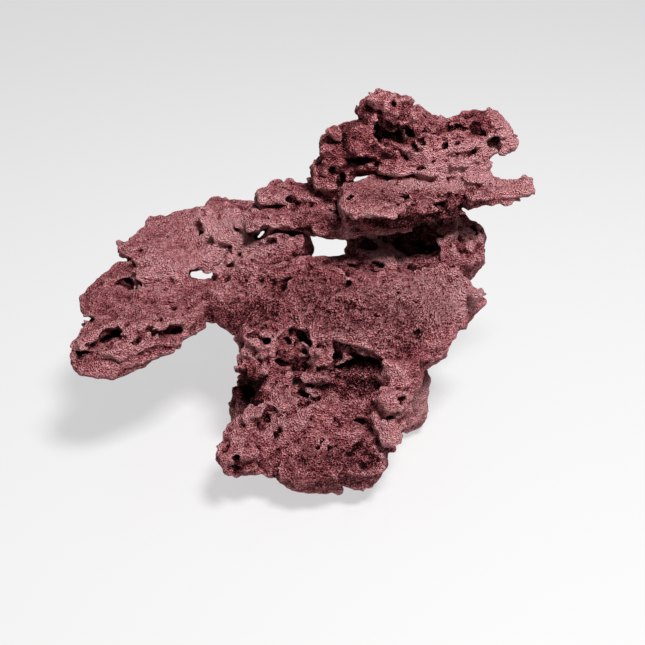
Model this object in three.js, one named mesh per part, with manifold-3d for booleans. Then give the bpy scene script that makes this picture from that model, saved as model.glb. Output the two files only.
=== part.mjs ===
// Aquarium reef rock: weathered limestone shelves stacked on one pedestal, grown into a single stone.
// Millimetres, +Z up, origin on the ground under the pedestal.
// -Y is the front, where the foot shelf slopes down.
import * as THREE from "three";
import { ImprovedNoise } from "three/addons/math/ImprovedNoise.js";
import { mergeVertices } from "three/addons/utils/BufferGeometryUtils.js";
import Module from "manifold-3d";

const wasm = await Module();
wasm.setup();

// Driving dimensions
const groundZ = 0;
const groundSide = 600; // side of the block of ground that cuts the feet flat
const weathering = [
  { wavelength: 52, depth: 6 },
  { wavelength: 26, depth: 5 },
  { wavelength: 14, depth: 3.6 },
];
const noiseSlices = [[11.3, 4.7, 0], [0, 31.9, 7.1], [5.2, 0, 23.6]]; // where X, Y and Z read the noise
const rimShare = 0.28; // part of a shelf's triangles that goes to its rim
const rimCrown = 0.06; // how far the rim's middle stands proud, as a share of the reach
const lumpSquareness = 2.6; // 2 is an ellipsoid, more is boxier
const shortestEdge = 2.8; // edges left shorter than this by the joins are closed up
const foldLimit = 0.5; // least cosine between a face's old and new normals when an edge is closed
const groundTolerance = 1e-3; // how near the ground a point counts as on it
const mergeTolerance = 1e-4; // points nearer than this are one point

// Shelves: outline in plan, top height at the outline's middle, slope of the top along X and Y, thickness.
const shelves = [
  {
    name: "left wing",
    outline: [
      [-191, -40], [-180, -48], [-165, -48], [-152, -44], [-131, -26], [-108, -2], [-86, 21],
      [-62, 34], [-62, 62], [-84, 60], [-110, 58], [-150, 74], [-172, 84], [-186, 62], [-197, 38],
      [-194, 14], [-176, -3], [-182, -19],
    ],
    top: 107, slope: [0, 0.06], thick: 23, detail: 5,
  },
  {
    name: "left wing, back shelf",
    outline: [
      [-176, 84], [-168, 99], [-152, 132], [-141, 141], [-106, 148], [-70, 150], [-58, 122],
      [-66, 98], [-80, 76], [-94, 60], [-107, 48], [-122, 42], [-148, 62], [-162, 76],
    ],
    top: 124, slope: [0.02, 0.03], thick: 15, detail: 4,
  },
  {
    name: "left wing, raised back edge",
    outline: [
      [-110, 150], [-100, 165], [-90, 169], [-76, 163], [-60, 158], [-54, 130], [-84, 122],
      [-106, 132],
    ],
    top: 127, slope: [0.02, 0], thick: 12, detail: 2,
  },
  {
    name: "bridge",
    outline: [
      [-57, 122], [-46, 138], [-22, 144], [-7, 145], [24, 138], [44, 112], [52, 80], [40, 60],
      [22, 57], [6, 62], [-9, 67], [-27, 76], [-46, 88], [-54, 106],
    ],
    top: 153, slope: [0.02, 0.02], thick: 11, detail: 4,
  },
  {
    name: "bridge, upper layer",
    outline: [
      [-54, 112], [-44, 128], [-22, 134], [-6, 135], [22, 128], [36, 108], [30, 92], [8, 88],
      [-20, 94], [-44, 100],
    ],
    top: 159, slope: [0.02, 0.02], thick: 9, detail: 2,
  },
  {
    name: "right slab",
    outline: [
      [17, 80], [34, 92], [80, 98], [118, 104], [132, 84], [118, 58], [105, 50], [86, 48],
      [62, 42], [50, 34], [36, 30], [24, 36], [16, 52],
    ],
    top: 181, slope: [0, 0.05], thick: 17, detail: 4,
  },
  {
    name: "right slab, tail",
    outline: [
      [90, 60], [90, 100], [122, 104], [150, 102], [168, 96], [174, 88], [170, 76], [158, 64],
      [140, 58], [118, 54],
    ],
    top: 181, slope: [0, 0.04], thick: 15, detail: 2,
  },
  {
    name: "right slab, lower lip",
    outline: [
      [16, 84], [18, 58], [38, 56], [60, 57], [72, 61], [88, 70], [104, 78], [112, 100],
      [60, 112], [20, 104],
    ],
    top: 169, slope: [0, 0.02], thick: 24, detail: 2,
  },
  {
    name: "porous shelf",
    outline: [
      [40, 74], [60, 64], [88, 52], [111, 44], [124, 50], [131, 62], [138, 84], [134, 102],
      [122, 114], [100, 122], [60, 118], [44, 100],
    ],
    top: 141, slope: [0, 0.02], thick: 36, detail: 3,
  },
  {
    name: "front slab",
    outline: [
      [-34, 20], [-22, 40], [-4, 50], [22, 51], [40, 45], [62, 40], [95, 50], [108, 54],
      [117, 40], [119, 28], [132, 24], [120, 12], [109, -4], [92, -24], [74, -36], [58, -40],
      [42, -38], [14, -24], [-18, -12],
    ],
    top: 113, slope: [0, 0.38], thick: 26, detail: 5,
  },
  {
    name: "saddle",
    outline: [
      [-86, 18], [-98, 48], [-88, 68], [-72, 84], [-60, 96], [-46, 92], [-28, 88], [-12, 72],
      [4, 54], [16, 10], [0, -18], [-30, -22], [-56, -12], [-74, 4],
    ],
    top: 114, slope: [0.04, 0.17], thick: 26, detail: 4,
  },
  {
    name: "foot shelf",
    outline: [
      [-80, -88], [-76, -76], [-64, -64], [-58, -42], [-44, -26], [-15, -22], [20, -20],
      [44, -28], [58, -42], [64, -62], [57, -80], [46, -94], [30, -99], [14, -98], [-2, -104],
      [-24, -100], [-46, -92], [-66, -98],
    ],
    top: 61, slope: [0, 0.52], thick: 26, detail: 5,
  },
  {
    name: "crown, upper shelf",
    outline: [
      [0, 88], [-2, 106], [3, 128], [20, 142], [36, 156], [80, 154], [110, 140], [134, 150],
      [152, 146], [164, 124], [156, 108], [140, 100], [116, 98], [90, 100], [48, 100], [22, 96],
    ],
    top: 211, slope: [0, 0.1], thick: 17, detail: 5,
  },
  {
    name: "crown, lower shelf",
    outline: [
      [50, 112], [60, 98], [76, 92], [96, 90], [114, 94], [124, 100], [130, 116], [118, 134],
      [80, 136],
    ],
    top: 197, slope: [0, 0], thick: 30, detail: 2,
  },
  {
    name: "crown, middle layer",
    outline: [[-6, 98], [4, 90], [24, 100], [46, 102], [68, 100], [72, 120], [40, 134], [6, 128]],
    top: 190, slope: [0, 0], thick: 9, detail: 1,
  },
  {
    name: "rear shelf",
    outline: [
      [-44, 50], [-38, 82], [-10, 100], [30, 112], [70, 124], [104, 112], [108, 70], [60, 40],
      [0, 40],
    ],
    top: 84, slope: [0.06, -0.1], thick: 22, detail: 3,
  },
];

// Lumps: centre, size, turn about Z and tilt about X in degrees.
const lumps = [
  { name: "pedestal", at: [12, 12, 50], size: [136, 96, 120], detail: 3 },
  { name: "left knob", at: [-48, -22, 64], size: [42, 42, 46], turn: 20, detail: 2 },
  { name: "pillar lump", at: [-42, -34, 52], size: [38, 34, 40], turn: -20, detail: 2 },
  { name: "neck over the foot shelf", at: [2, -20, 86], size: [48, 28, 40], detail: 2 },
  { name: "foot shelf, right shoulder", at: [60, -34, 74], size: [38, 38, 40], turn: 20, detail: 2 },
  { name: "foot shelf, drip", at: [46, -60, 58], size: [26, 34, 20], detail: 1 },
  { name: "left foot", at: [-58, 4, 16], size: [40, 40, 50], detail: 2 },
  { name: "right foot", at: [65, 4, 32], size: [42, 58, 70], turn: 20, detail: 2 },
  { name: "foot shelf, nose", at: [-62, -80, 36], size: [32, 30, 24], turn: 20, detail: 1 },
  { name: "front foot", at: [-4, -54, 14], size: [84, 56, 44], detail: 2 },
  { name: "rear leg, left", at: [8, 70, 40], size: [72, 64, 90], turn: 15, detail: 2 },
  { name: "rear leg, right", at: [70, 84, 44], size: [68, 66, 110], turn: -15, detail: 2 },
  { name: "rear column", at: [88, 102, 140], size: [58, 44, 116], turn: 10, detail: 2 },
  { name: "rear column, inner side", at: [52, 106, 112], size: [44, 36, 84], detail: 2 },
  { name: "bridge root, left", at: [-39, 79, 127], size: [60, 42, 34], turn: -20, detail: 2 },
  { name: "bridge root, right", at: [48, 90, 142], size: [34, 44, 36], detail: 1 },
  { name: "crest behind the front slab", at: [26, 50, 121], size: [92, 26, 24], detail: 2 },
  { name: "crown, left lobe", at: [9, 106, 176], size: [38, 40, 54], detail: 2 },
  { name: "crown, knob", at: [51, 122, 220], size: [46, 40, 44], turn: 15, detail: 2 },
  { name: "crown, knob's foot", at: [38, 112, 206], size: [56, 40, 28], turn: 10, detail: 2 },
  { name: "crown, knob's shoulder", at: [80, 130, 210], size: [46, 40, 26], detail: 2 },
  { name: "crown, front face", at: [98, 106, 194], size: [84, 30, 40], detail: 2 },
  { name: "crown, ridge", at: [126, 132, 207], size: [50, 38, 26], turn: -10, detail: 2 },
];

// Pits, slots and holes worn into the stone, given as the lumps are.
const pits = [
  { name: "wing hole", at: [-160, -29, 104], size: [28, 10, 26], turn: 42, detail: 1 },
  { name: "wing tip slot", at: [-176, -47, 97], size: [36, 20, 8], turn: -12, detail: 1 },
  { name: "wing side slot", at: [-114, -20, 99], size: [32, 16, 8], turn: 44, detail: 1 },
  { name: "wing recess, front", at: [-157, 42, 111], size: [28, 11, 14], detail: 1 },
  { name: "wing recess, back", at: [-160, 66, 112], size: [20, 10, 16], turn: -12, detail: 1 },
  { name: "through hole", at: [-99, 60, 104], size: [22, 10, 100], tilt: 56, detail: 1 },
  { name: "slit beside the bridge", at: [-58, 101, 116], size: [11, 46, 60], turn: -16, detail: 1 },
  { name: "cave", at: [76, 60, 132], size: [44, 36, 22], detail: 1 },
  { name: "porous hole", at: [112, 58, 140], size: [13, 14, 16], detail: 1 },
  { name: "slot under the front slab", at: [30, -33, 83], size: [40, 30, 10], turn: -25, detail: 1 },
  { name: "deep pocket", at: [-20, -22, 92], size: [28, 26, 30], detail: 1 },
  { name: "foot pit", at: [-10, -54, 64], size: [17, 15, 22], detail: 1 },
  { name: "foot hollow", at: [20, -91, 46], size: [46, 26, 14], tilt: 27, detail: 1 },
  { name: "crown pocket", at: [62, 104, 212], size: [42, 22, 15], detail: 1 },
  { name: "ridge pit", at: [136, 103, 208], size: [13, 12, 14], detail: 1 },
];

const noise = new ImprovedNoise();

// Moves a point by each octave of weathering, each axis with its own slice of the noise.
function weather(point) {
  const start = point.clone();
  for (const { wavelength, depth } of weathering) {
    const p = start.clone().divideScalar(wavelength);
    const shift = noiseSlices.map(([x, y, z]) => depth * noise.noise(p.x + x, p.y + y, p.z + z));
    point.add(new THREE.Vector3(...shift));
  }
}

// A ball of even triangles with shared vertices.
function blank(detail) {
  const geometry = new THREE.IcosahedronGeometry(1, detail);
  geometry.deleteAttribute("normal");
  geometry.deleteAttribute("uv");
  return mergeVertices(geometry, mergeTolerance);
}

// Puts every point of a blank where place says, and weathers it there.
function reshape(geometry, place) {
  const position = geometry.getAttribute("position");
  const point = new THREE.Vector3();
  for (let i = 0; i < position.count; i++) {
    point.fromBufferAttribute(position, i);
    place(point);
    weather(point);
    position.setXYZ(i, point.x, point.y, point.z);
  }
  return geometry;
}

const wholeTurn = (angle) => THREE.MathUtils.euclideanModulo(angle, 2 * Math.PI);

// Distance from the middle of an outline to its edge at any angle, even steps between its points.
function reachOf(outline, middle) {
  const points = outline
    .map(([x, y]) => {
      const arm = new THREE.Vector2(x, y).sub(middle);
      return { angle: arm.angle(), reach: arm.length() };
    })
    .sort((a, b) => a.angle - b.angle);
  return (angle) => {
    const next = points.findIndex((p) => p.angle > wholeTurn(angle));
    const before = points.at(next > 0 ? next - 1 : -1);
    const after = points.at(Math.max(0, next));
    const share = wholeTurn(angle - before.angle) / wholeTurn(after.angle - before.angle);
    return THREE.MathUtils.lerp(before.reach, after.reach, share);
  };
}

// A flat slab with the given outline, its rim rounded, its top sloped.
function shelfGeometry({ outline, top, slope, thick, detail }) {
  const corners = outline.map(([x, y]) => new THREE.Vector2(x, y));
  const middle = new THREE.Box2().setFromPoints(corners).getCenter(new THREE.Vector2());
  const reach = reachOf(outline, middle);
  return reshape(blank(detail), (point) => {
    const angle = Math.atan2(point.y, point.x);
    const level = Math.abs(point.z);
    const rise = Math.min(1, level / rimShare); // 0 at the rim's middle, 1 on the flats
    const spread = Math.min(1, Math.sqrt((1 - level) / (1 - rimShare))) - rimCrown * rise ** 2;
    const arm = Math.max(0, spread) * reach(angle);
    const drop = (1 - Math.sign(point.z) * rise) * (thick / 2);
    point.x = arm * Math.cos(angle);
    point.y = arm * Math.sin(angle);
    point.z = top + slope[0] * point.x + slope[1] * point.y - drop;
    point.x += middle.x;
    point.y += middle.y;
  });
}

// A rounded block.
function lumpGeometry({ at, size, turn = 0, tilt = 0, detail }) {
  const { degToRad } = THREE.MathUtils;
  const pose = new THREE.Euler(degToRad(tilt), 0, degToRad(turn), "ZYX");
  const power = (value) => Math.abs(value) ** lumpSquareness;
  return reshape(blank(detail), (point) => {
    point.divideScalar((power(point.x) + power(point.y) + power(point.z)) ** (1 / lumpSquareness));
    point.multiply(new THREE.Vector3(...size)).multiplyScalar(0.5);
    point.applyEuler(pose);
    point.add(new THREE.Vector3(...at));
  });
}

function solidOf(geometry) {
  return new wasm.Manifold(
    new wasm.Mesh({
      numProp: 3,
      vertProperties: geometry.getAttribute("position").array,
      triVerts: new Uint32Array(geometry.index.array),
    }),
  );
}

function geometryOf(solid) {
  const { vertProperties, triVerts } = solid.getMesh();
  const geometry = new THREE.BufferGeometry();
  geometry.setAttribute("position", new THREE.BufferAttribute(vertProperties, 3));
  geometry.setIndex(new THREE.BufferAttribute(triVerts, 1));
  geometry.computeVertexNormals();
  return geometry;
}

// Closes up short edges, each one onto its first end, where the skin stays whole and no face folds over.
function closeShortEdges(geometry, shortest) {
  const position = geometry.getAttribute("position");
  const pointAt = (_, i) => new THREE.Vector3().fromBufferAttribute(position, i);
  const points = Array.from({ length: position.count }, pointAt);
  const faces = [];
  const facesAt = points.map(() => new Set());
  for (let i = 0; i < geometry.index.count; i += 3) {
    const face = [0, 1, 2].map((k) => geometry.index.getX(i + k));
    face.forEach((p) => facesAt[p].add(face));
    faces.push(face);
  }
  const neighbours = (p) => new Set([...facesAt[p]].flat().filter((q) => q !== p));
  const triangle = (face) => new THREE.Triangle(...face.map((p) => points[p]));
  const normal = (face) => triangle(face).getNormal(new THREE.Vector3());
  const onGround = (p) => Math.abs(points[p].z - groundZ) < groundTolerance;
  const close = (kept, gone) => {
    if (points[kept].distanceTo(points[gone]) > shortest) return;
    if (onGround(gone) && !onGround(kept)) return;
    const shared = [...neighbours(kept)].filter((p) => neighbours(gone).has(p));
    if (shared.length !== 2) return;
    const moved = [...facesAt[gone]].filter((face) => !face.includes(kept));
    const after = moved.map((face) => face.map((p) => (p === gone ? kept : p)));
    if (moved.some((face, i) => normal(face).dot(normal(after[i])) < foldLimit)) return;
    [...facesAt[gone]].forEach((face) => {
      face.forEach((p) => facesAt[p].delete(face));
      faces.splice(faces.indexOf(face), 1);
    });
    after.forEach((face) => {
      face.forEach((p) => facesAt[p].add(face));
      faces.push(face);
    });
  };
  for (let p = 0; p < points.length; p++) {
    for (const q of neighbours(p)) close(p, q);
  }
  const corners = (face) => [...face].sort((a, b) => a - b).join();
  const uses = Map.groupBy(faces, corners); // two faces on the same corners are a closed-up crumb
  const closed = new THREE.BufferGeometry().setFromPoints(points);
  closed.setIndex(faces.filter((face) => uses.get(corners(face)).length === 1).flat());
  return mergeVertices(closed.toNonIndexed(), mergeTolerance);
}

// The ground under the stone, as a block to cut its feet flat.
function groundGeometry() {
  const box = new THREE.BoxGeometry(groundSide, groundSide, groundSide);
  box.translate(0, 0, groundZ - groundSide / 2);
  box.deleteAttribute("normal");
  box.deleteAttribute("uv");
  return mergeVertices(box, mergeTolerance);
}

const grown = [...shelves.map(shelfGeometry), ...lumps.map(lumpGeometry)].map(solidOf);
const worn = [...pits.map(lumpGeometry), groundGeometry()].map(solidOf);
const stone = worn.reduce((a, b) => a.subtract(b), grown.reduce((a, b) => a.add(b)));

const rockMaterial = new THREE.MeshStandardMaterial({ color: 0x8c4a56, roughness: 0.95, metalness: 0 });
const rock = new THREE.Mesh(closeShortEdges(geometryOf(stone), shortestEdge), rockMaterial);
rock.name = "reef_rock";

const reefRock = new THREE.Group();
reefRock.add(rock);

export default reefRock;
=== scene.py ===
import math
import time

import bpy
import numpy as np
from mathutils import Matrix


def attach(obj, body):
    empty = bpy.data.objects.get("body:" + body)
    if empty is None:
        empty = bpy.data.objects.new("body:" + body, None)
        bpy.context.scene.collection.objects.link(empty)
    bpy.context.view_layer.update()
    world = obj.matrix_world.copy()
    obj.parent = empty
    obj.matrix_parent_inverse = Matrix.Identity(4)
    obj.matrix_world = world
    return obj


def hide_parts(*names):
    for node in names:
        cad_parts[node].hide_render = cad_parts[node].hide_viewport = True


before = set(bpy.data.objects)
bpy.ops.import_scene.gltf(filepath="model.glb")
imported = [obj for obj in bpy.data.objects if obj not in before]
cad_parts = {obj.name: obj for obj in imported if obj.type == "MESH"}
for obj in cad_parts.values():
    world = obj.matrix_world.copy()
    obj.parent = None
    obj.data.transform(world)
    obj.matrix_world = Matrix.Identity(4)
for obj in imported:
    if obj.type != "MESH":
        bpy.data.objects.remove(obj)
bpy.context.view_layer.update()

import openvdb
from mathutils import Vector

started = time.perf_counter()


def say(stage):
    print(f"reef rock: {stage}, {time.perf_counter() - started:.0f} s in")


# where the stone is seen from: metres, degrees above the floor, lens in millimetres
view = {
    "aim": (0, 0, 0.100),
    "elevation": 34,
    "distance": 0.700,
    "lens": 50,
}


def wayToEye():
    tilt = math.radians(view["elevation"])
    return np.array((0, -math.cos(tilt), math.sin(tilt)))


def makeCamera():
    back = Vector(wayToEye())
    lens = bpy.data.cameras.new("camera")
    lens.lens = view["lens"]
    camera = bpy.data.objects.new("camera", lens)
    camera.location = Vector(view["aim"]) + back * view["distance"]
    camera.rotation_euler = (-back).to_track_quat("-Z", "Y").to_euler()
    bpy.context.scene.collection.objects.link(camera)
    bpy.context.scene.camera = camera


# the stone is carved in a block of voxels that hold the distance to its skin; all of it is in millimetres
stone = {
    "spacing": 1.25,           # voxel size
    "margin": 10,              # empty voxels kept round the stone
    "band": 10,                # voxels of true distance on each side of the skin
    "triangles": 196000,
    "melt": 0.8,               # how far the corners are rounded before the wear
    "zone": (1.3, 0.8),        # where a zone ends, as a square of its reach, and how long its fade is
    "fold": (1.8, 0.75),       # where the folded waves of the wear are cut off, and their mean height
    # wear: wavelength along X, Y, Z, depth on calm plates, depth on craggy stone
    # a minus makes bumps parted by creases
    "ridges": [((24, 24, 16), 0.5, 1.6), ((13, 13, 10), -0.5, -1.3)],
    "crumbs": [((7, 7, 6), 0.5, 0.9), ((4, 4, 4), -0.6, -0.9)],     # worn in after the dents
    "strata": ((44, 44, 7), 0.35, 1.0),
    # height of a layer, how far and over what length it wanders, its depth on calm and on layered stone
    "layers": (10, 4, 30, 0.5, 2.2),
    "overhang": 7,             # how much steeper the underside of a layer is than its top
    "grain": (2.8, 0.3),       # wavelength and depth
    "raggedness": ((8, 1), (3.6, 0.8)),     # of every lump and dent: wavelength and height of two waves
    # round each dent the stone falls in: how much longer, wider and larger all over than the dent,
    # how deep beside it, and how soft
    "mouth": (1.3, 1.6, 3, 0.3, 2.5),
    "walls": (1.1, 0.8),       # raggedness of a dent's walls beside that of its mouth, softness of its rim
    "through": (90, 1.2),      # depth and raggedness of the holes right through
    # small pits strewn over the craggy stone
    "pits": 420,
    "calm pits": 0.06,         # how many fall on calm stone, beside 1 on craggy stone
    "layered pits": 0.8,       # how many fewer fall on layered stone
    "pit clusters": 18,        # distance between them
    "pit width": (1.6, 3.2),   # the narrowest, and how much wider a few are
    "pit length": 2.5,         # how much longer than wide a few are
    "pit depth": (0.5, 1.2),   # least and most, beside the width
    "pit walls": (0.9, 0.6),   # raggedness, softness of the rim
    # the painted shade finds hollow and deep places within these distances
    "hollow": 2.5,
    "deep": 8,
    # what the random waves start from
    "seeds": {"ridges": 0, "crumbs": 2, "strata": 40, "layers": 45, "grain": 50, "pit clusters": 60,
              "raggedness": 90, "pits": 5},
}
# craggy stone: middle and reach of each zone
craggy = [
    ((-45, -25, 60), (42, 36, 50)),     # pillar
    ((-40, -70, 50), (50, 45, 22)),     # foot shelf's left rim
    ((50, -66, 60), (24, 34, 24)),      # foot shelf's right rim
    ((40, 120, 210), (70, 60, 40)),     # crown
    ((100, 110, 195), (90, 40, 28)),    # crown's face
    ((100, 70, 135), (60, 60, 22)),     # porous shelf
    ((0, 120, 155), (60, 22, 12)),      # bridge's back half
    ((-38, 62, 130), (38, 26, 20)),     # bridge's root
]
# stone that breaks in flat layers with sharp lower edges
layered = [
    ((85, 75, 182), (100, 70, 16)),     # slab
    ((90, 105, 200), (80, 30, 20)),     # crown's face
    ((-10, 90, 152), (60, 40, 14)),     # bridge
    ((125, 120, 220), (35, 25, 14)),    # ridge
    ((-140, -30, 98), (50, 30, 14)),    # wing's edge
]
# stone added to the solids' forms: middle, size along X, Y, Z, turn about Z, softness of the join
lumps = {
    "shelf joins bridge": ((-60, 114, 130), (40, 42, 14), 10, 4),
    "shelf climbs to bridge": ((-72, 100, 131), (60, 54, 15), 15, 8, 2),
    "shelf's bulge": ((-132, 52, 110), (46, 28, 20), 8, 4),
    "bridge root": ((-40, 76, 146), (46, 22, 14), 0, 4),
    "bridge root's skirt": ((-46, 50, 119), (66, 28, 14), -10, 5),
    "bridge front plate": ((-16, 82, 151), (76, 28, 7), -8, 1.5),
    "bridge front plate, low": ((12, 62, 147), (36, 14, 7), 0, 3),
    "bridge back half": ((-14, 112, 158), (86, 40, 18), -4, 4),
    "bridge's raised end": ((-44, 102, 164), (30, 26, 12), -20, 4),
    "window's right side": ((36, 94, 120), (30, 16, 40), 0, 3),
    "shelf joins saddle": ((-68, 78, 124), (16, 16, 14), 0, 4),
    "under the shelf": ((-86, 50, 113), (10, 12, 12), 0, 4),
    "shelf pit's lips": ((-109, 108, 126), (18, 10, 5), 0, 3),
    "crown's layer": ((36, 100, 188), (34, 12, 5), 0, 1.5),
    "ridge's rim": ((124, 123, 215), (42, 18, 7), -6, 2),
    "knob's top": ((54, 112, 238), (34, 26, 12), 0, 4),
    "knob's right": ((67, 112, 231), (14, 20, 18), 0, 3),
    "crown's left top": ((11, 100, 214), (14, 16, 12), 0, 3),
    "ridge's corner": ((146, 116, 208), (16, 16, 20), 0, 4),
    "face's ledge": ((98, 94, 197), (66, 12, 6), -7, 1.5, 2.5),
    "face meets slab": ((110, 90, 184), (70, 20, 9), -4, 3, 2),
    "ledge's underside": ((106, 92, 190), (62, 18, 13), -5, 4, 1.5),
    "face's brow": ((62, 92, 190), (30, 10, 7), 6, 1.5),
    "slab's rib": ((19, 44, 166), (7, 12, 32), 0, 3),
    "slab's blade": ((142, 80, 181.5), (58, 22, 11), 8, 1.5),
    "blade's middle": ((150, 76, 179), (44, 26, 10), 8, 2),
    "blade's root": ((124, 62, 178), (22, 20, 9), 0, 2),
    "shoulder's point": ((120, 8, 120), (11, 11, 11), 0, 3),
    "shelf's left point": ((-168, 90, 116), (15, 14, 9), 0, 3),
    "shelf's back edge": ((-142, 132, 120), (26, 14, 8), -20, 3),
    "foot's front edge": ((-3, -92, 15), (34, 14, 20), 0, 4),
    "slab's spoon": ((40, 38, 178), (46, 24, 7), -12, 1.5),
    "pillar's shoulder": ((-52, -18, 84), (34, 30, 44), 10, 4),
    "pillar's brow": ((-34, -14, 96), (26, 16, 16), 0, 4),
    "pocket's floor": ((-20, -14, 84), (40, 24, 28), 0, 4),
    "root under the slab": ((0, -30, 82), (20, 16, 30), 0, 3),
    "root's toe": ((-6, -36, 74), (24, 14, 12), 0, 3),
    "foot's crest": ((-24, -35, 75), (34, 13, 9), -6, 2),
    "left rim": ((-46, -58, 62), (14, 44, 14), -28, 3),
    "left rim, low": ((-62, -80, 52), (20, 26, 14), -28, 3),
    "nose": ((-62, -92, 44), (30, 20, 20), 20, 3),
    "drip": ((52, -60, 68), (18, 22, 20), 0, 2),
    "drip's top": ((58, -48, 76), (16, 16, 12), 0, 3),
    "right rim": ((50, -78, 52), (14, 24, 14), 10, 3),
    "hollow's knobs": ((24, -76, 50), (16, 8, 7), 0, 2),
}
# stone taken away, in the same terms
cuts = {
    "under the spoon": ((55, 20, 168), (62, 30, 21), -8, 1),
    "slab's bay": ((68, 24, 178), (18, 26, 22), 24, 1.5),
    "behind the bridge": ((-36, 142, 168), (62, 38, 44), 0, 3),
    "bridge's top": ((-36, 112, 172), (58, 60, 17), -4, 3),
    "dip by the knob": ((98, 124, 227), (28, 60, 22), 0, 4),
    "face's lower corner": ((149, 100, 188), (26, 70, 15), 0, 2),
    "gap above the slab": ((146, 112, 181), (20, 40, 9), 0, 2),
    "ridge's end": ((175, 111, 206), (28, 60, 28), 0, 4),
    "under the blade": ((146, 64, 166), (70, 50, 13), 8, 3),
    "porous shelf's corner": ((130, 82, 152), (36, 44, 18), 0, 3),
    "porous shelf's side": ((145, 66, 140), (22, 70, 60), 0, 3),
    "shoulder's notch": ((119, 22, 127), (14, 16, 20), 0, 2),
    "shoulder's side": ((134, 0, 112), (29, 40, 20), 0, 3),
    "slab's right side": ((112, -20, 80), (30, 50, 32), 0, 3),
    "crown's left side": ((-14, 110, 198), (24, 50, 16), 0, 3),
    "pillar's right side": ((93, -8, 36), (14, 50, 46), 0, 3),
    "foot's right side": ((60, -79, 20), (16, 50, 60), -34, 3),
    "foot's right side, low": ((64, -82, 16), (36, 46, 36), 0, 4),
    "foot's front": ((-12, -112, 0), (60, 46, 22), 0, 4),
    "foot's front, right": ((13, -114, 6), (22, 32, 22), 0, 4),
    "foot's front, left": ((-54, -108, 18), (30, 30, 30), 0, 4),
    "under the nose": ((-52, -98, 12), (34, 24, 30), 10, 3),
    "nose's left side": ((-84, -86, 64), (36, 44, 26), 0, 3),
    "pillar's left side": ((-71, 14, 68), (19, 90, 36), 0, 4),
    "pillar's left side, low": ((-78, 0, 40), (16, 80, 34), 0, 3),
    "pillar's left side, high": ((-78, -32, 97), (38, 44, 28), 0, 4),
    "wing's lower side": ((-98, -22, 92), (56, 14, 30), 37, 2),
    "wing's underside": ((-107, 4, 76), (40, 50, 30), 0, 5),
    "raised end's left": ((-62, 110, 168), (14, 60, 24), 0, 3),
    "wing's notch": ((-198, 13, 92), (28, 40, 13), 0, 3),
    "wing's back corner": ((-203, 50, 118), (40, 50, 26), 0, 4),
    "window's sill": ((6, 54, 133), (44, 30, 11), 0, 3),
}
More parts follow.
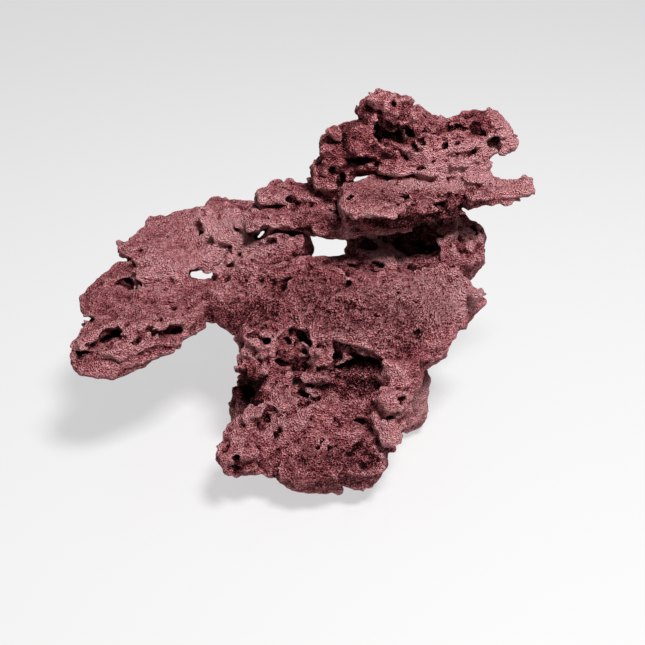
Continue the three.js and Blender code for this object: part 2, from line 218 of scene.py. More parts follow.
# pits and slots worn in from the front: place, length, width and depth, turn from the right, raggedness
dents = {
    "wing hole": ((-161, -24, 103), (22, 5, 16), 27, 1.2),
    "wing tip slot": ((-176, -40, 100), (21, 4, 14), -6, 1.0),
    "wing side slot": ((-113, -14, 101), (15, 5, 14), 5, 1.2),
    "wing side slot, tail": ((-124, -16, 102), (13, 2.5, 6), 15, 0.8),
    "first recess": ((-160, 41, 110), (22, 7, 8), -3, 1.6),
    "second recess": ((-158, 66, 112), (12, 5, 8), 0, 1.4),
    "notch": ((-154, 78, 120), (8, 6, 8), 0, 1.2),
    "hook": ((-121, 15, 109), (6, 3, 5), 10, 0.8),
    "hook's end": ((-117, 10, 107), (3.5, 8, 6), 0, 0.8),
    "wing pit": ((-136, -8, 111), (3, 3, 4), 0, 0.5),
    "wing pit, right": ((-124, -10, 110), (3, 3, 4), 0, 0.5),
    "crack": ((-132, -25, 109), (32, 1.6, 3), 43, 0.8),
    "seam": ((-134, 36, 111), (23, 3, 4), -34, 0.8),
    "black crack": ((-97, 54, 115), (18, 3.5, 12), 8, 1.0),
    "black crack, right": ((-78, 57, 117), (8, 3, 10), 15, 0.8),
    "shelf pit": ((-104, 98, 127), (4.5, 5, 8), 0, 0.8),
    "slit": ((-60, 72, 135), (27, 8, 12), 48, 1.5),
    "knob pit": ((57, 106, 237), (5, 6, 8), 0, 0.8),
    "pocket": ((70, 114, 211), (22, 16, 18), 20, 2.5),
    "pocket, left": ((54, 104, 214), (28, 12, 16), -12, 2.0),
    "pocket, middle": ((64, 110, 211), (16, 12, 16), 0, 2.0),
    "pit by the pocket": ((79, 104, 208), (4, 5, 6), 0, 0.8),
    "pit below the pocket": ((74, 98, 204), (6, 3, 5), 0, 0.8),
    "under the ridge's rim": ((124, 114, 214), (36, 15, 5), -5, 2.0),
    "under the rim, left": ((112, 118, 215), (13, 10, 8), 0, 1.6),
    "ridge pit": ((140, 108, 207), (7, 9, 6), 0, 1.2),
    "face pit": ((121, 93, 203), (4, 4, 6), 0, 1.0),
    "crown slot": ((31, 92, 196), (31, 5, 14), 0, 1.0),
    "crown recess": ((15, 86, 182), (8, 12, 7), 0, 1.6),
    "slab groove": ((66, 56, 180), (17, 8, 12), 0, 1.4),
    "slab slot": ((93, 49, 178), (16, 6, 10), 5, 1.2),
    "lip slot": ((80, 66, 158), (42, 5, 16), 8, 1.2),
    "bridge pit, left": ((-24, 88, 158), (8, 4, 7), 0, 1.2),
    "bridge pit": ((-8, 86, 157), (7, 3, 7), -15, 1.0),
    "bridge pit, right": ((10, 81, 156), (14, 3, 7), -15, 1.0),
    "slot under the plate": ((-26, 68, 143), (35, 3.5, 9), -5, 1.0),
    "beside the window": ((36, 66, 131), (20, 16, 10), 0, 1.5),
    "crest pit, left": ((22, 42, 127), (9, 5, 9), 0, 1.2),
    "crest pit, right": ((47, 42, 127), (10, 8, 9), 0, 1.2),
    "cave": ((74, 78, 134), (50, 30, 26), 0, 2.2),
    "cave's left": ((50, 70, 130), (12, 12, 8), 0, 2.0),
    "honeycomb": ((113, 62, 142), (8, 9, 9), 0, 0.8),
    "honeycomb, low": ((101, 50, 141), (6, 6, 7), 0, 0.8),
    "honeycomb, right": ((117, 50, 134), (6, 5, 7), 0, 0.8),
    "honeycomb, end": ((126, 63, 141), (6, 6, 7), 0, 0.8),
    "slab's groove": ((28, 2, 113), (30, 2.5, 2), -25, 1.0),
    "under the slab": ((30, -30, 88), (31, 6, 18), -17, 0.6),
    "beside the root": ((11, -28, 86), (13, 14, 10), 0, 2.5),
    "slab pit": ((72, -20, 104), (5, 3, 5), 0, 0.6),
    "slab front pit": ((5, -27, 97), (3, 3, 4), 0, 0.5),
    "slab back pit": ((21, 27, 119), (4, 2.5, 5), 0, 0.6),
    "pocket, brown": ((-22, -14, 92), (22, 20, 4), 0, 2.5),
    "pocket's pit": ((-14, -12, 94), (4, 8, 9), 0, 1.0),
    "pillar pit": ((-40, -18, 98), (7, 7, 9), 0, 1.0),
    "pillar crevice": ((-41, -34, 76), (13, 4, 10), 48, 1.2),
    "pillar's shadow": ((-60, -38, 58), (20, 18, 12), 0, 2.0),
    "foot pit": ((-10, -46, 65), (15, 8, 12), 5, 1.2),
    "foot pit, small": ((-19, -38, 73), (9, 4.5, 7), 0, 1.2),
    "dish": ((22, -44, 68), (34, 36, 4), 0, 1.5),
    "foot hollow": ((20, -84, 42), (38, 15, 5), -12, 2.0),
    "foot hollow's pit": ((14, -82, 44), (13, 7, 7), 0, 1.5),
    "foot hollow's left": ((4, -84, 46), (8, 5, 6), 0, 1.2),
    "shelf pit, left": ((-42, -66, 60), (5, 4.5, 6), 0, 0.8),
    "shelf pit, nose": ((-34, -78, 54), (3, 8, 5), 0, 0.8),
    "shelf pit, middle": ((23, -66, 56), (13, 3, 5), 0, 1.2),
    "under the drip": ((50, -70, 62), (8, 3.5, 6), 0, 1.0),
}
# holes right through: middle, way through, length and width, turn
holes = {
    "under the shelf": ((-100, 48, 114), (-0.13, 0.85, -0.51), (15, 7), 5),
    "slit's end": ((-50, 73, 139), (-0.07, 0.88, -0.47), (12, 5), 50),
    "under the blade": ((126, 62, 160), (0.16, 0.88, -0.46), (24, 8), -32),
    "above the porous shelf": ((124, 66, 156.5), (0.16, 0.88, -0.45), (34, 9), -38),
    "bridge's top": ((-48, 100, 174), (-0.06, 0.9, -0.42), (28, 8), 28),
    "wing's notch": ((-188, 10, 97), (-0.25, 0.8, -0.54), (14, 7), 0),
    "beside the nose": ((-79, -86, 60), (-0.11, 0.75, -0.65), (24, 14), 60),
}

# how the paint, with painted light and painted shade, and the grain differ over the stone: middle, reach,
# lighter, grainier, streaks turned
# many zones are painted light and painted shade beside the stone's own tone: lighter where the lamp leaves
# the stone in shade, as at the slab's back, the window's right side and the shelf's join; darker under
# parts and in crevices, as under the slab, in the pillar's shadow and in the ridge's bowl
tone_with_painted_light_and_shade = {
    "back shelf": ((-100, 90, 125), (62, 60, 30), 0.22, -0.1, 0),
    "shelf's join": ((-74, 86, 129), (28, 30, 24), 0.38, 0.1, 0),
    "shelf's top": ((-80, 118, 130), (26, 20, 14), -0.12, 0, 0),
    "wing": ((-135, 12, 108), (40, 32, 20), 0.1, 0, 0),
    "by the hole": ((-134, 46, 110), (26, 24, 18), 0.28, 0, 0),
    "wing's low edge": ((-98, -22, 100), (32, 12, 14), -0.15, 0, 0),
    "wing's tip": ((-152, -36, 98), (34, 18, 12), 0.08, 0, 0),
    "saddle": ((-30, 20, 115), (50, 40, 22), -0.06, 0.15, 1),
    "saddle's corner": ((-66, 34, 112), (24, 22, 16), 0.24, 0.1, 1),
    "saddle's edge": ((-58, 2, 98), (26, 26, 24), -0.14, 0.1, 1),
    "brown pocket": ((-28, -14, 94), (28, 18, 14), -0.2, 0, 0),
    "bridge": ((-10, 84, 152), (55, 26, 14), 0.08, 0, 0),
    "bridge's root": ((-50, 68, 134), (24, 20, 18), 0.36, 0.2, 0),
    "crown's left": ((28, 100, 210), (44, 40, 40), -0.26, -0.1, 0),
    "crown's face": ((112, 96, 195), (50, 24, 16), 0.36, 0.1, 0),
    "ridge's bowl": ((122, 117, 216), (26, 16, 13), -0.38, 0, 0),
    "crown's middle": ((90, 112, 212), (22, 16, 14), -0.14, 0, 0),
    "ridge's end": ((148, 115, 212), (20, 20, 20), 0.34, 0, 0),
    "pocket": ((62, 108, 213), (20, 14, 10), -0.25, 0, 0),
    "slab": ((80, 50, 180), (90, 40, 14), 0, 0.3, 0),
    # painted light: the slab's back is lit up where the crown's ledge shades it
    "slab's back": ((106, 82, 184), (42, 16, 12), 1.0, 0, 0),
    "slab's end": ((146, 78, 184), (34, 20, 12), 0.22, 0, 0),
    "slab's back, left": ((54, 82, 183), (32, 16, 10), 0.34, 0, 0),
    "spoon": ((44, 32, 179), (26, 14, 6), 0.1, -0.2, 0),
    # painted shade under the slab
    "under the slab": ((72, 40, 167), (62, 22, 10), -0.5, 0, 0),
    "under the slab's right": ((112, 56, 174), (30, 20, 10), -0.28, 0, 0),
    # painted light in a hole that the lamp does not reach
    "window's right side": ((52, 64, 128), (22, 24, 20), 0.6, 0.2, 0),
    "porous shelf": ((110, 58, 135), (36, 28, 22), -0.04, 0.2, 0),
    "porous shelf's rim": ((122, 66, 146), (20, 20, 14), 0.5, 0, 0),
    "porous shelf's middle": ((100, 56, 136), (18, 16, 14), -0.12, 0, 0),
    "under the slab's left": ((62, 40, 164), (20, 16, 8), -0.14, 0, 0),
    "cave's right side": ((98, 52, 128), (18, 16, 16), 0.14, 0, 0),
    "slab's shoulder": ((88, 14, 118), (44, 34, 22), 0.28, 0.4, 0),
    "shoulder's point": ((118, 4, 116), (20, 24, 16), 0.25, 0, 0),
    "shoulder's notch": ((112, 26, 130), (16, 20, 16), 0.15, 0, 0),
    "front slab's back": ((62, 22, 122), (36, 24, 14), 0.1, 0, 0),
    "front slab": ((40, -5, 108), (60, 40, 20), -0.06, 0.55, 0),
    "dish": ((20, -34, 74), (36, 26, 18), -0.2, 0.4, 1),
    "dish's low end": ((22, -60, 56), (16, 14, 12), -0.16, 0, 0),
    "slab's lower right": ((58, -34, 90), (24, 14, 14), -0.25, 0, 0),
    "drip": ((52, -46, 78), (14, 30, 32), 0.24, 0, 0),
    "slab's front": ((36, -26, 98), (40, 14, 10), 0.12, 0, 0),
    "pillar's left": ((-58, -24, 78), (16, 22, 24), 0.24, 0, 0),
    "knob": ((50, 104, 230), (16, 20, 20), 0.15, 0, 0),
    "knob's right": ((74, 106, 228), (18, 20, 20), -0.12, 0, 0),
    "below the knob": ((56, 100, 208), (14, 12, 10), 0.15, 0, 0),
    "foot's top": ((-16, -46, 70), (30, 14, 12), 0.12, 0, 0),
    "root's side": ((-20, -36, 80), (22, 16, 16), -0.1, 0, 0),
    "saddle's lower edge": ((-76, 2, 100), (20, 20, 16), -0.12, 0, 0),
    "window's sill": ((50, 52, 126), (44, 14, 12), -0.14, 0, 0),
    "bridge's right end": ((20, 76, 158), (22, 24, 14), 0.12, 0.2, 0),
    "bridge by the spoon": ((-4, 66, 152), (22, 18, 12), -0.3, 0.2, 0),
    "bridge's raised end": ((-46, 100, 164), (24, 24, 16), 0.15, 0, 0),
    "right rim": ((50, -80, 50), (14, 26, 20), 0.26, 0, 0),
    "right rim's side": ((62, -74, 30), (14, 20, 22), -0.44, 0, 0),
    "pillar's right side": ((80, -20, 42), (16, 30, 28), 0.3, 0, 0),
    "pillar's right": ((62, -40, 60), (16, 24, 30), 0.2, 0, 0),
    "foot's middle": ((-8, -72, 52), (36, 22, 14), 0.12, 0, 0),
    "left rim": ((-36, -60, 62), (34, 30, 18), 0.12, 0.3, 0),
    "nose's face": ((-66, -100, 42), (20, 16, 14), -0.24, 0, 0),
    "foot's face": ((18, -94, 36), (46, 24, 20), -0.2, 0.3, 1),
    "pillar's shadow": ((-60, -38, 58), (22, 24, 26), -0.8, -0.2, 0),
    "crevice by the rim": ((-50, -50, 62), (14, 14, 14), -0.2, 0, 0),
}


def splineRows(count, spacing, wavelength):
    # weights of a smooth curve through random heights, one wavelength apart, at each voxel
    place = np.arange(count) * spacing / wavelength
    base = np.floor(place).astype(int)
    t = place - base
    weights = ((1 - t) ** 3 / 6, (3 * t ** 3 - 6 * t ** 2 + 4) / 6,
               (-3 * t ** 3 + 3 * t ** 2 + 3 * t + 1) / 6, t ** 3 / 6)
    rows = np.zeros((count, base[-1] + 4), np.float32)
    for k, weight in enumerate(weights):
        rows[np.arange(count), base + k] = weight
    return rows


def softMax(a, b, reach):
    blend = np.maximum(reach - np.abs(a - b), 0)
    return np.maximum(a, b) + blend * blend / (4 * reach)


def biggestPiece(quads, count):
    # tells which faces belong to the biggest connected piece
    label = np.arange(count)
    while True:
        low = label[quads].min(1)
        new = label.copy()
        for k in range(4):
            np.minimum.at(new, quads[:, k], low)
        new = new[new]
        if (new == label).all():
            break
        label = new
    owner = label[quads[:, 0]]
    return owner == np.bincount(owner).argmax()


class Block:
    def __init__(self, node):
        mesh = node.data
        mesh.calc_loop_triangles()
        points = np.empty(len(mesh.vertices) * 3, np.float32)
        mesh.vertices.foreach_get("co", points)
        points = points.reshape(-1, 3) * 1000
        faces = np.empty(len(mesh.loop_triangles) * 3, np.int32)
        mesh.loop_triangles.foreach_get("vertices", faces)
        self.spacing = stone["spacing"]
        self.transform = openvdb.createLinearTransform(voxelSize=self.spacing)
        grid = openvdb.FloatGrid.createLevelSetFromPolygons(
            points, triangles=faces.reshape(-1, 3).astype(np.uint32), transform=self.transform,
            exBandWidth=stone["band"], inBandWidth=stone["band"])
        low, high = points.min(0) / self.spacing, points.max(0) / self.spacing
        self.corner = np.floor(low).astype(int) - stone["margin"]
        self.count = np.ceil(high).astype(int) + stone["margin"] - self.corner
        self.field = np.empty(self.count, np.float32)
        grid.copyToArray(self.field, ijk=tuple(int(c) for c in self.corner))
        self.low = self.corner * self.spacing
        self.field = self.blur(self.field, stone["melt"])
        self.warp = 0
        for k, (wavelength, height) in enumerate(stone["raggedness"], stone["seeds"]["raggedness"]):
            self.warp = self.warp + height * self.waves(wavelength, k)

    def axis(self, k):
        # every voxel's place along X, Y or Z
        shape = [1, 1, 1]
        shape[k] = -1
        return (np.arange(self.count[k], dtype=np.float32) * self.spacing + self.low[k]).reshape(shape)

    def waves(self, wavelength, seed):
        # smooth random waves with a spread of 1
        waves = np.broadcast_to(wavelength, 3)
        rows = [splineRows(self.count[k], self.spacing, waves[k]) for k in range(3)]
        lattice = np.random.default_rng(seed).standard_normal([r.shape[1] for r in rows]).astype(np.float32)
        out = np.tensordot(rows[0], lattice, (1, 0))
        out = np.tensordot(out, rows[1], (1, 1))
        out = np.tensordot(out, rows[2], (1, 1))
        return out / out[::7, ::7, ::7].std()

    def zones(self, places):
        # 1 in the middle of each zone, down to 0 past its reach
        end, fade = stone["zone"]
        share = np.zeros(self.count, np.float32)
        for at, reach in places:
            far = sum(((self.axis(k) - at[k]) / reach[k]) ** 2 for k in range(3))
            np.maximum(share, np.clip((end - far) / fade, 0, 1), out=share)
        return share

    def blur(self, values, radius):
        sigma = radius / self.spacing
        reach = int(math.ceil(2.5 * sigma))
        steps = np.arange(-reach, reach + 1)
        weights = np.exp(-steps ** 2 / (2 * sigma ** 2)).astype(np.float32)
        weights /= weights.sum()
        for k in range(3):
            padded = np.pad(values, [(reach, reach) if k == a else (0, 0) for a in range(3)], mode="edge")
            out = np.zeros_like(values)
            for s, w in zip(steps, weights):
                index = [slice(None)] * 3
                index[k] = slice(reach + s, reach + s + values.shape[k])
                out += w * padded[tuple(index)]
            values = out
        return values

    def sample(self, values, points):
        # values at any points, blended from the eight voxels round each
        place = (points - self.low) / self.spacing
        base = np.clip(np.floor(place).astype(int), 0, np.array(values.shape) - 2)
        t = (place - base).astype(np.float32)
        out = 0
        for corner in np.ndindex(2, 2, 2):
            weight = np.prod(np.where(corner, t, 1 - t), axis=1)
            out = out + weight * values[tuple((base + corner).T)]
        return out

    def skin(self, point):
        # walks a point onto the skin, and gives the way out of the stone there
        sides = [s * np.eye(3)[k] * self.spacing * 1.5 for k in range(3) for s in (1, -1)]
        for _ in range(4):
            values = self.sample(self.field, np.array([point] + [point + side for side in sides]))
            slope = values[1::2] - values[2::2]
            out = slope / (np.linalg.norm(slope) + 1e-9)
            point = point - out * values[0]
        return point, out

    def front(self, point):
        # moves a point along the line to the eye onto the nearest skin, and gives the way to the eye
        search, step = 24, 0.5
        eye = 1000 * (np.array(view["aim"]) + view["distance"] * wayToEye())
        out = eye - point
        out /= np.linalg.norm(out)
        steps = np.arange(-search, search, step)
        values = self.sample(self.field, point + steps[:, None] * out)
        leaves = np.flatnonzero((values[:-1] < 0) & (values[1:] >= 0))
        if len(leaves):
            point = point + steps[leaves[np.abs(steps[leaves]).argmin()]] * out
        return point, out

    def window(self, at, reach):
        # the voxels within reach, and where they lie from there
        lo = np.clip(np.floor((at - reach - self.low) / self.spacing).astype(int), 0, self.count - 1)
        hi = np.clip(np.ceil((at + reach - self.low) / self.spacing).astype(int) + 1, 1, self.count)
        index = tuple(slice(a, b) for a, b in zip(lo, hi))
        place = np.stack(np.meshgrid(*[np.arange(a, b) for a, b in zip(lo, hi)], indexing="ij"), -1)
        return index, (place * self.spacing + self.low - at).astype(np.float32)

    def shape(self, at, axes, half, square, rough):
        # distance to an uneven rounded block: square 2 is an ellipsoid, more is boxier
        spare = 4
        index, place = self.window(at, max(half) + spare)
        q = np.abs(place @ axes.T.astype(np.float32)) / half + 1e-6
        near = (q ** square).sum(-1) ** (1 / square)
        steep = np.linalg.norm((q / near[..., None]) ** (square - 1) / half, axis=-1)
        return index, (near - 1) / steep + rough * self.warp[index]

    def upright(self, at, size, turn, rough):
        # a boxy shape turned about Z
        a = math.radians(turn)
        axes = np.array(((math.cos(a), math.sin(a), 0), (-math.sin(a), math.cos(a), 0), (0, 0, 1)))
        return self.shape(np.array(at, float), axes, np.array(size, np.float32) / 2, 4, rough)

    def lump(self, at, size, turn, soft, rough=1.0):
        index, distance = self.upright(at, size, turn, rough)
        self.field[index] = -softMax(-self.field[index], -distance, soft)

    def cut(self, at, size, turn, soft, rough=1.0):
        index, distance = self.upright(at, size, turn, rough)
        self.field[index] = softMax(self.field[index], -distance, soft)

    def dent(self, at, out, size, turn, rough, soft):
        # size is length and width across the way out, and depth along it
        right = np.array((1.0, 0, 0)) if abs(out[0]) < 0.9 else np.array((0, 1.0, 0))
        right -= out * (right @ out)
        right /= np.linalg.norm(right)
        up = np.cross(out, right)
        a = math.radians(turn)
        axes = np.stack([math.cos(a) * right + math.sin(a) * up,
                         math.cos(a) * up - math.sin(a) * right, out])
        half = np.array((size[0] / 2, size[1] / 2, size[2]), np.float32)
        index, distance = self.shape(at, axes, half, 2, rough)
        self.field[index] = softMax(self.field[index], -distance, soft)

    def wear(self, layers, rough, seed):
        # folded waves: sharp creases with flattened tops between them
        top, mean = stone["fold"]
        for k, (wavelength, calm, wild) in enumerate(layers, seed):
            ridge = np.minimum(np.abs(self.waves(wavelength, k)), top) - mean
            self.field += (calm + (wild - calm) * rough) * ridge

    def mesh(self, name):
        grid = openvdb.FloatGrid(stone["band"] * self.spacing)
        grid.transform = self.transform
        grid.copyFromArray(self.field, ijk=tuple(int(c) for c in self.corner))
        points, triangles, quads = grid.convertToPolygons(isovalue=0, adaptivity=0)
        quads = quads[biggestPiece(quads.astype(np.int64), len(points))]
        used, quads = np.unique(quads, return_inverse=True)
        quads = quads.reshape(-1, 4)[:, ::-1]
        mesh = bpy.data.meshes.new(name)
        mesh.vertices.add(len(used))
        mesh.vertices.foreach_set("co", (points[used] / 1000).ravel())
        mesh.loops.add(quads.size)
        mesh.loops.foreach_set("vertex_index", quads.ravel().astype(np.int32))
        mesh.polygons.add(len(quads))
        mesh.polygons.foreach_set("loop_start", np.arange(0, quads.size, 4, dtype=np.int32))
        mesh.update(calc_edges=True)
        return mesh


def wearStone(block, rough, sheets):
    seeds = stone["seeds"]
    block.wear(stone["ridges"], rough, seeds["ridges"])
    wavelength, calm, wild = stone["strata"]
    block.field += (calm + (wild - calm) * rough) * block.waves(wavelength, seeds["strata"])
    height, wander, wavelength, calm, wild = stone["layers"]
    level = (block.axis(2) + wander * block.waves(wavelength, seeds["layers"])) / height
    level -= np.floor(level)
    ledge = 0.5 - np.minimum(level, (1 - level) * stone["overhang"])
    block.field -= (calm + (wild - calm) * sheets) * ledge


def carveStone(block):
    longer, wider, more, less, soft = stone["mouth"]
    walls, rim = stone["walls"]
    for at, (long, wide, deep), turn, ragged in dents.values():
        at, out = block.front(np.array(at, float))
        block.dent(at, out, (long * longer + more, wide * wider + more, deep * less), turn, ragged, soft)
        block.dent(at, out, (long, wide, deep), turn, ragged * walls, rim)
    for cut in cuts.values():
        block.cut(*cut)
    deep, ragged = stone["through"]
    for at, out, (long, wide), turn in holes.values():
        block.dent(np.array(at, float), -np.array(out), (long, wide, deep), turn, ragged, rim)


def crumbleStone(block, rough):
    seeds = stone["seeds"]
    block.wear(stone["crumbs"], rough, seeds["crumbs"])
    wavelength, depth = stone["grain"]
    block.field += depth * block.waves(wavelength, seeds["grain"])


def strewPits(block, spots, rough, sheets):
    random = np.random.default_rng(stone["seeds"]["pits"])
    there = tuple(spots.T)
    cluster = block.waves(stone["pit clusters"], stone["seeds"]["pit clusters"])[there]
    density = stone["calm pits"] + rough[there] - stone["layered pits"] * np.minimum(rough, sheets)[there]
    density = density * np.clip(cluster, 0, 2) ** 2
    narrow, wider = stone["pit width"]
    ragged, rim = stone["pit walls"]
    for spot in spots[random.choice(len(spots), stone["pits"], replace=False, p=density / density.sum())]:
        wide = narrow + wider * random.random() ** 3
        long = wide * (1 + stone["pit length"] * random.random() ** 2)
        deep = wide * random.uniform(*stone["pit depth"])
        at, out = block.skin(spot * block.spacing + block.low)
        block.dent(at, out, (long, wide, deep), random.uniform(0, 180), ragged * wide ** 0.5, rim)


def layStone(block, name):
    # the block's skin as a mesh with fewer triangles
    mesh = block.mesh(name)
    say(f"mesh of {len(mesh.polygons)} faces")
    obj = bpy.data.objects.new(name, mesh)
    bpy.context.scene.collection.objects.link(obj)
    decimate = obj.modifiers.new("fewer", "DECIMATE")
    decimate.ratio = stone["triangles"] / (2 * len(mesh.polygons))
    depsgraph = bpy.context.evaluated_depsgraph_get()
    final = bpy.data.meshes.new_from_object(obj.evaluated_get(depsgraph))
    final.name = name
    obj.modifiers.clear()
    obj.data = final
    final.polygons.foreach_set("use_smooth", np.ones(len(final.polygons), bool))
    return obj


def shadeStone(block, mesh):
    # keeps at each point how hollow and deep it lies, for the painted shade, and how its tone, painted
    # light and painted shade, and grain differ
    def keep(name, values):
        mesh.attributes.new(name, "FLOAT", "POINT").data.foreach_set("value", values.astype(np.float32))
    solid = np.clip(0.5 - block.field / block.spacing, 0, 1)
    co = np.empty(len(mesh.vertices) * 3, np.float32)
    mesh.vertices.foreach_get("co", co)
    co = co.reshape(-1, 3) * 1000
    for name in ("hollow", "deep"):
        keep(name, block.sample(block.blur(solid, stone[name]), co))
    for k, name in enumerate(("tone", "grain", "turned"), 2):
        values = np.zeros(len(co), np.float32)
        for shade in tone_with_painted_light_and_shade.values():
            far = (((co - shade[0]) / shade[1]) ** 2).sum(1)
            values += shade[k] * np.clip(stone["zone"][0] - far, 0, 1)
        keep(name, values)


def makeStone():
    block = Block(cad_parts["reef_rock"])
    rough, sheets = block.zones(craggy), block.zones(layered)
    say("block")
    for lump in lumps.values():
        block.lump(*lump)
    wearStone(block, rough, sheets)
    say("wear")
    spots = np.argwhere(np.abs(block.field) < 0.5 * block.spacing)
    carveStone(block)
    say("dents")
    crumbleStone(block, rough)
    strewPits(block, spots, rough, sheets)
    say("pits")
    block.field = np.maximum(block.field, -block.axis(2))     # flat on the floor
    obj = layStone(block, "reefStone")
    shadeStone(block, obj.data)
    say("tone_with_painted_light_and_shade")
    return obj


class Wire:
    # a socket that takes part in sums
    def __init__(self, paint, socket):
        self.paint, self.socket = paint, socket

    def __add__(self, other):
        return self.paint.math("ADD", self, other)

    def __sub__(self, other):
        return self.paint.math("SUBTRACT", self, other)

    def __rsub__(self, other):
        return self.paint.math("SUBTRACT", other, self)

    def __mul__(self, other):
        return self.paint.math("MULTIPLY", self, other)

    __radd__ = __add__
    __rmul__ = __mul__


class Paint:
    # a material and the nodes in it
    def __init__(self, name):
        self.material = bpy.data.materials.new(name)
        self.material.use_nodes = True
        self.tree = self.material.node_tree
        self.tree.nodes.clear()

    def node(self, kind, settings=None, sockets=None, out=0):
        made = self.tree.nodes.new(kind)
        for name, value in (settings or {}).items():
            if name == "stops":
                self.setStops(made.color_ramp, value)
            else:
                setattr(made, name, value)
        for name, value in (sockets or {}).items():
            socket = next(s for s in made.inputs if name in (s.identifier, s.name))
            if isinstance(value, Wire):
                self.tree.links.new(value.socket, socket)
            else:
                socket.default_value = value
        return Wire(self, made.outputs[out]) if made.outputs else None

    def setStops(self, ramp, stops):
        while len(ramp.elements) < len(stops):
            ramp.elements.new(0.5)
        for stop, (at, colour) in zip(ramp.elements, stops):
            stop.position, stop.color = at, (*colour, 1)

    def math(self, operation, a, b):
        return self.node("ShaderNodeMath", {"operation": operation}, {"Value": a, "Value_001": b})

    def vector(self, operation, a, b):
        second = "Scale" if operation == "SCALE" else "Vector_001"
        return self.node("ShaderNodeVectorMath", {"operation": operation}, {"Vector": a, second: b})

    def step(self, value, low, high):
        return self.node("ShaderNodeMapRange", {"interpolation_type": "SMOOTHSTEP"},
                         {"Value": value, "From Min": low, "From Max": high})

    def finish(self, shader, sockets):
        # joins the shader to the output, and gives the material
        self.node("ShaderNodeOutputMaterial", None, {"Surface": self.node(shader, None, sockets)})
        return self.material


# the stone's dusty paint, with painted shade in its hollows, deep places, pinholes and grain
dust_and_painted_shade = {
    # waves per metre, detail, and how much each adds to the grain
    "sand": (1050, 0, 4.8),
    "grit": (600, 0, 3.0),
    "crumbs": (330, 1, 2.2),
    # waves per metre, detail, and how much each adds to the tone
    "patches": (20, 3, 0.5),
    "specks": (110, 3, 0.3),
    "spread": (70, 2),             # waves and detail of where the grain and the pinholes are stronger
    "grain": (0.55, 0.9),          # least strength of the grain, and how much the spread adds
    "streaks": (170, 560, 700),    # waves per metre along X, Y, Z
    "streak": 2.4,                 # how much the streaks add to the grain
    "turned": 60,                  # degrees by which the turned streaks differ
    # pinholes: how many per metre, the share that is there, strength
    "pinholes": [(230, 0.35, 1), (390, 0.4, 0.7)],
    "pinhole": (0.42, 0.12),       # from its rim to its floor
    "pinhole depth": 0.9,          # beside the grain's
    # painted shade in the pinholes
    "pinhole painted shade": 0.1,           # how much darker it is
    "ragged": (260, 1, 0.004),     # waves per metre, detail and reach of the pinholes' unevenness
    "relief": 0.0015,              # how far the grain stands out
    # painted light on the grain's tops and painted shade between them
    "grain's painted light and shade": 0.2,               # how much lighter the grain's tops are
    # painted shade: how much darker a hollow or a deep place is painted, then where it turns black and by
    # how much
    "hollow": (1.5, 0.58, 0.8, 0.3),
    "deep": (0.3, 0.6, 0.85, 0.4),
    "middle": 0.6,                 # tone of plain stone, from 0 black to 1 pale pink
    "colours": [(0.0, (0.010, 0.001, 0.001)), (0.25, (0.085, 0.011, 0.014)), (0.5, (0.30, 0.075, 0.086)),
                (0.75, (0.52, 0.155, 0.172)), (1.0, (0.78, 0.36, 0.38))],
    "roughness": 0.9,
    "sheen": 0.08,
}


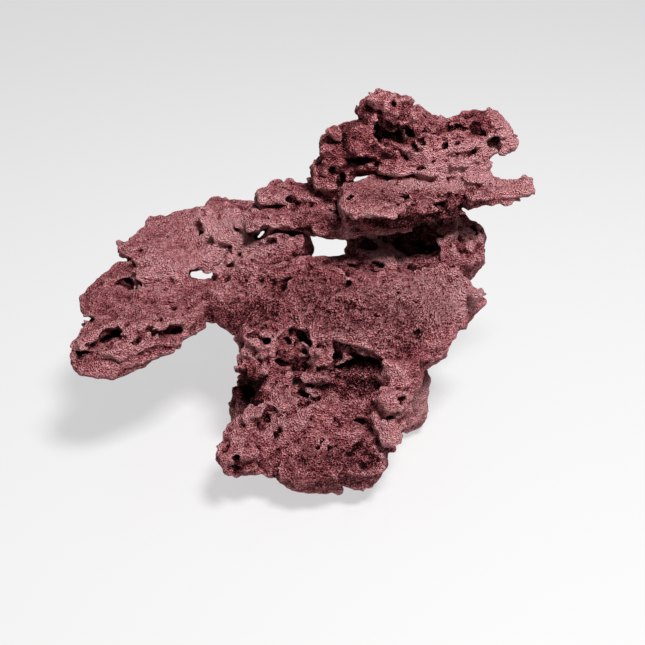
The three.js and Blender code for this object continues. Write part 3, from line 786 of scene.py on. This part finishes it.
def stoneMaterial():
    paint = Paint("stone")
    place = paint.node("ShaderNodeTexCoord", out="Object")
    hollow, deep, shade, rougher, turned = (
        paint.node("ShaderNodeAttribute", {"attribute_name": name}, out="Fac")
        for name in ("hollow", "deep", "tone", "grain", "turned"))

    def noise(scale, detail, vector=place, out=0):
        return paint.node("ShaderNodeTexNoise", None, {
            "Vector": vector, "Scale": scale, "Detail": detail, "Roughness": 0.6}, out)

    def swing(name):
        # noise on both sides of 0, times its strength
        scale, detail, strength = dust_and_painted_shade[name]
        return (noise(scale, detail) - 0.5) * strength

    def streaks(angle):
        # grain drawn out along one way
        along = paint.node("ShaderNodeMapping", {"vector_type": "TEXTURE"}, {
            "Vector": place, "Rotation": (0, 0, math.radians(angle)),
            "Scale": [1 / waves for waves in dust_and_painted_shade["streaks"]]})
        return noise(1, 1, along) - 0.5

    level, slanted = streaks(0), streaks(dust_and_painted_shade["turned"])
    streak = level + turned * (slanted - level)
    spread = noise(*dust_and_painted_shade["spread"])
    scale, detail, reach = dust_and_painted_shade["ragged"]
    uneven = paint.vector("SUBTRACT", noise(scale, detail, out="Color"), (0.5, 0.5, 0.5))
    warped = paint.vector("ADD", place, paint.vector("SCALE", uneven, reach))

    def pinhole(scale, share):
        # how deep each point lies in a pinhole, when the pinhole is among the share that is there
        sockets = {"Vector": warped, "Scale": scale}
        far = paint.node("ShaderNodeTexVoronoi", None, sockets)
        pick = paint.node("ShaderNodeTexVoronoi", None, sockets, "Color")
        pick = paint.node("ShaderNodeSeparateColor", None, {"Color": pick})
        return paint.step(far, *dust_and_painted_shade["pinhole"]) * paint.step(pick + spread - 0.5, 1 - share, 1.15 - share)

    # painted shade, darker in hollows and deep places and black at the deepest
    def painted_shade(depth, name):
        slope, low, high, black = dust_and_painted_shade[name]
        return slope * (depth - 0.5) + black * paint.step(depth, low, high)

    pinholes = sum(strength * pinhole(scale, share) for scale, share, strength in dust_and_painted_shade["pinholes"])
    pinholes = pinholes * (rougher + 1)
    least, more = dust_and_painted_shade["grain"]
    amount = (rougher + 1) * (least + more * spread)
    micro = swing("sand") + swing("grit") + swing("crumbs") + dust_and_painted_shade["streak"] * streak
    micro = micro * amount - dust_and_painted_shade["pinhole depth"] * pinholes
    # painted shade in the grain's hollows and pinholes, and painted light on the grain's tops
    tone = dust_and_painted_shade["middle"] + dust_and_painted_shade["grain's painted light and shade"] * micro - dust_and_painted_shade["pinhole painted shade"] * pinholes
    # the zones' tone with their painted light and painted shade, and painted shade in hollows and deep
    # places
    tone = tone + shade + swing("patches") + swing("specks") - painted_shade(hollow, "hollow") - painted_shade(deep, "deep")
    return paint.finish("ShaderNodeBsdfPrincipled", {
        "Base Color": paint.node("ShaderNodeValToRGB", {"stops": dust_and_painted_shade["colours"]}, {"Fac": tone}),
        "Roughness": dust_and_painted_shade["roughness"], "Specular IOR Level": dust_and_painted_shade["sheen"],
        "Normal": paint.node("ShaderNodeBump", None, {
            "Height": micro, "Strength": 1.0, "Distance": dust_and_painted_shade["relief"]})})


# a pale floor under one soft light, in metres and watts
studio = {
    "floor": 12,
    "floor colour": (0.25, 0.248, 0.245),
    "floor roughness": 0.28,
    "floor gloss": 1.9,            # index of refraction
    "glow": ((0.99, 0.99, 1), 0.57),
    "sky": ((1, 0.995, 0.99), 0.17),
    "light": 39,
    "light size": 0.4,
    "light at": (0.4, -0.35, 1.55),
    "light aimed at": (0, 0, 0.1),
}


def floorMaterial():
    glow, strength = studio["glow"]
    return Paint("table").finish("ShaderNodeBsdfPrincipled", {
        "Base Color": (*studio["floor colour"], 1), "Roughness": studio["floor roughness"],
        "IOR": studio["floor gloss"], "Emission Color": (*glow, 1), "Emission Strength": strength})


def makeFloor():
    half = studio["floor"] / 2
    mesh = bpy.data.meshes.new("floor")
    mesh.from_pydata([(-half, -half, 0), (half, -half, 0), (half, half, 0), (-half, half, 0)], [],
                     [(0, 1, 2, 3)])
    mesh.materials.append(floorMaterial())
    floor = bpy.data.objects.new("floor", mesh)
    bpy.context.scene.collection.objects.link(floor)


def makeLight():
    sky, strength = studio["sky"]
    world = bpy.data.worlds.new("studio")
    bpy.context.scene.world = world
    world.use_nodes = True
    background = world.node_tree.nodes["Background"].inputs
    background["Color"].default_value = (*sky, 1)
    background["Strength"].default_value = strength
    light = bpy.data.lights.new("softbox", "AREA")
    light.energy = studio["light"]
    light.size = studio["light size"]
    lamp = bpy.data.objects.new("softbox", light)
    lamp.location = studio["light at"]
    aim = Vector(studio["light aimed at"]) - lamp.location
    lamp.rotation_euler = aim.to_track_quat("-Z", "Y").to_euler()
    bpy.context.scene.collection.objects.link(lamp)
    bpy.context.scene.view_settings.view_transform = "Standard"


makeCamera()
rock = makeStone()
rock.data.materials.clear()
rock.data.materials.append(stoneMaterial())
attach(rock, "root")
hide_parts("reef_rock")
makeFloor()
makeLight()
say("stage")
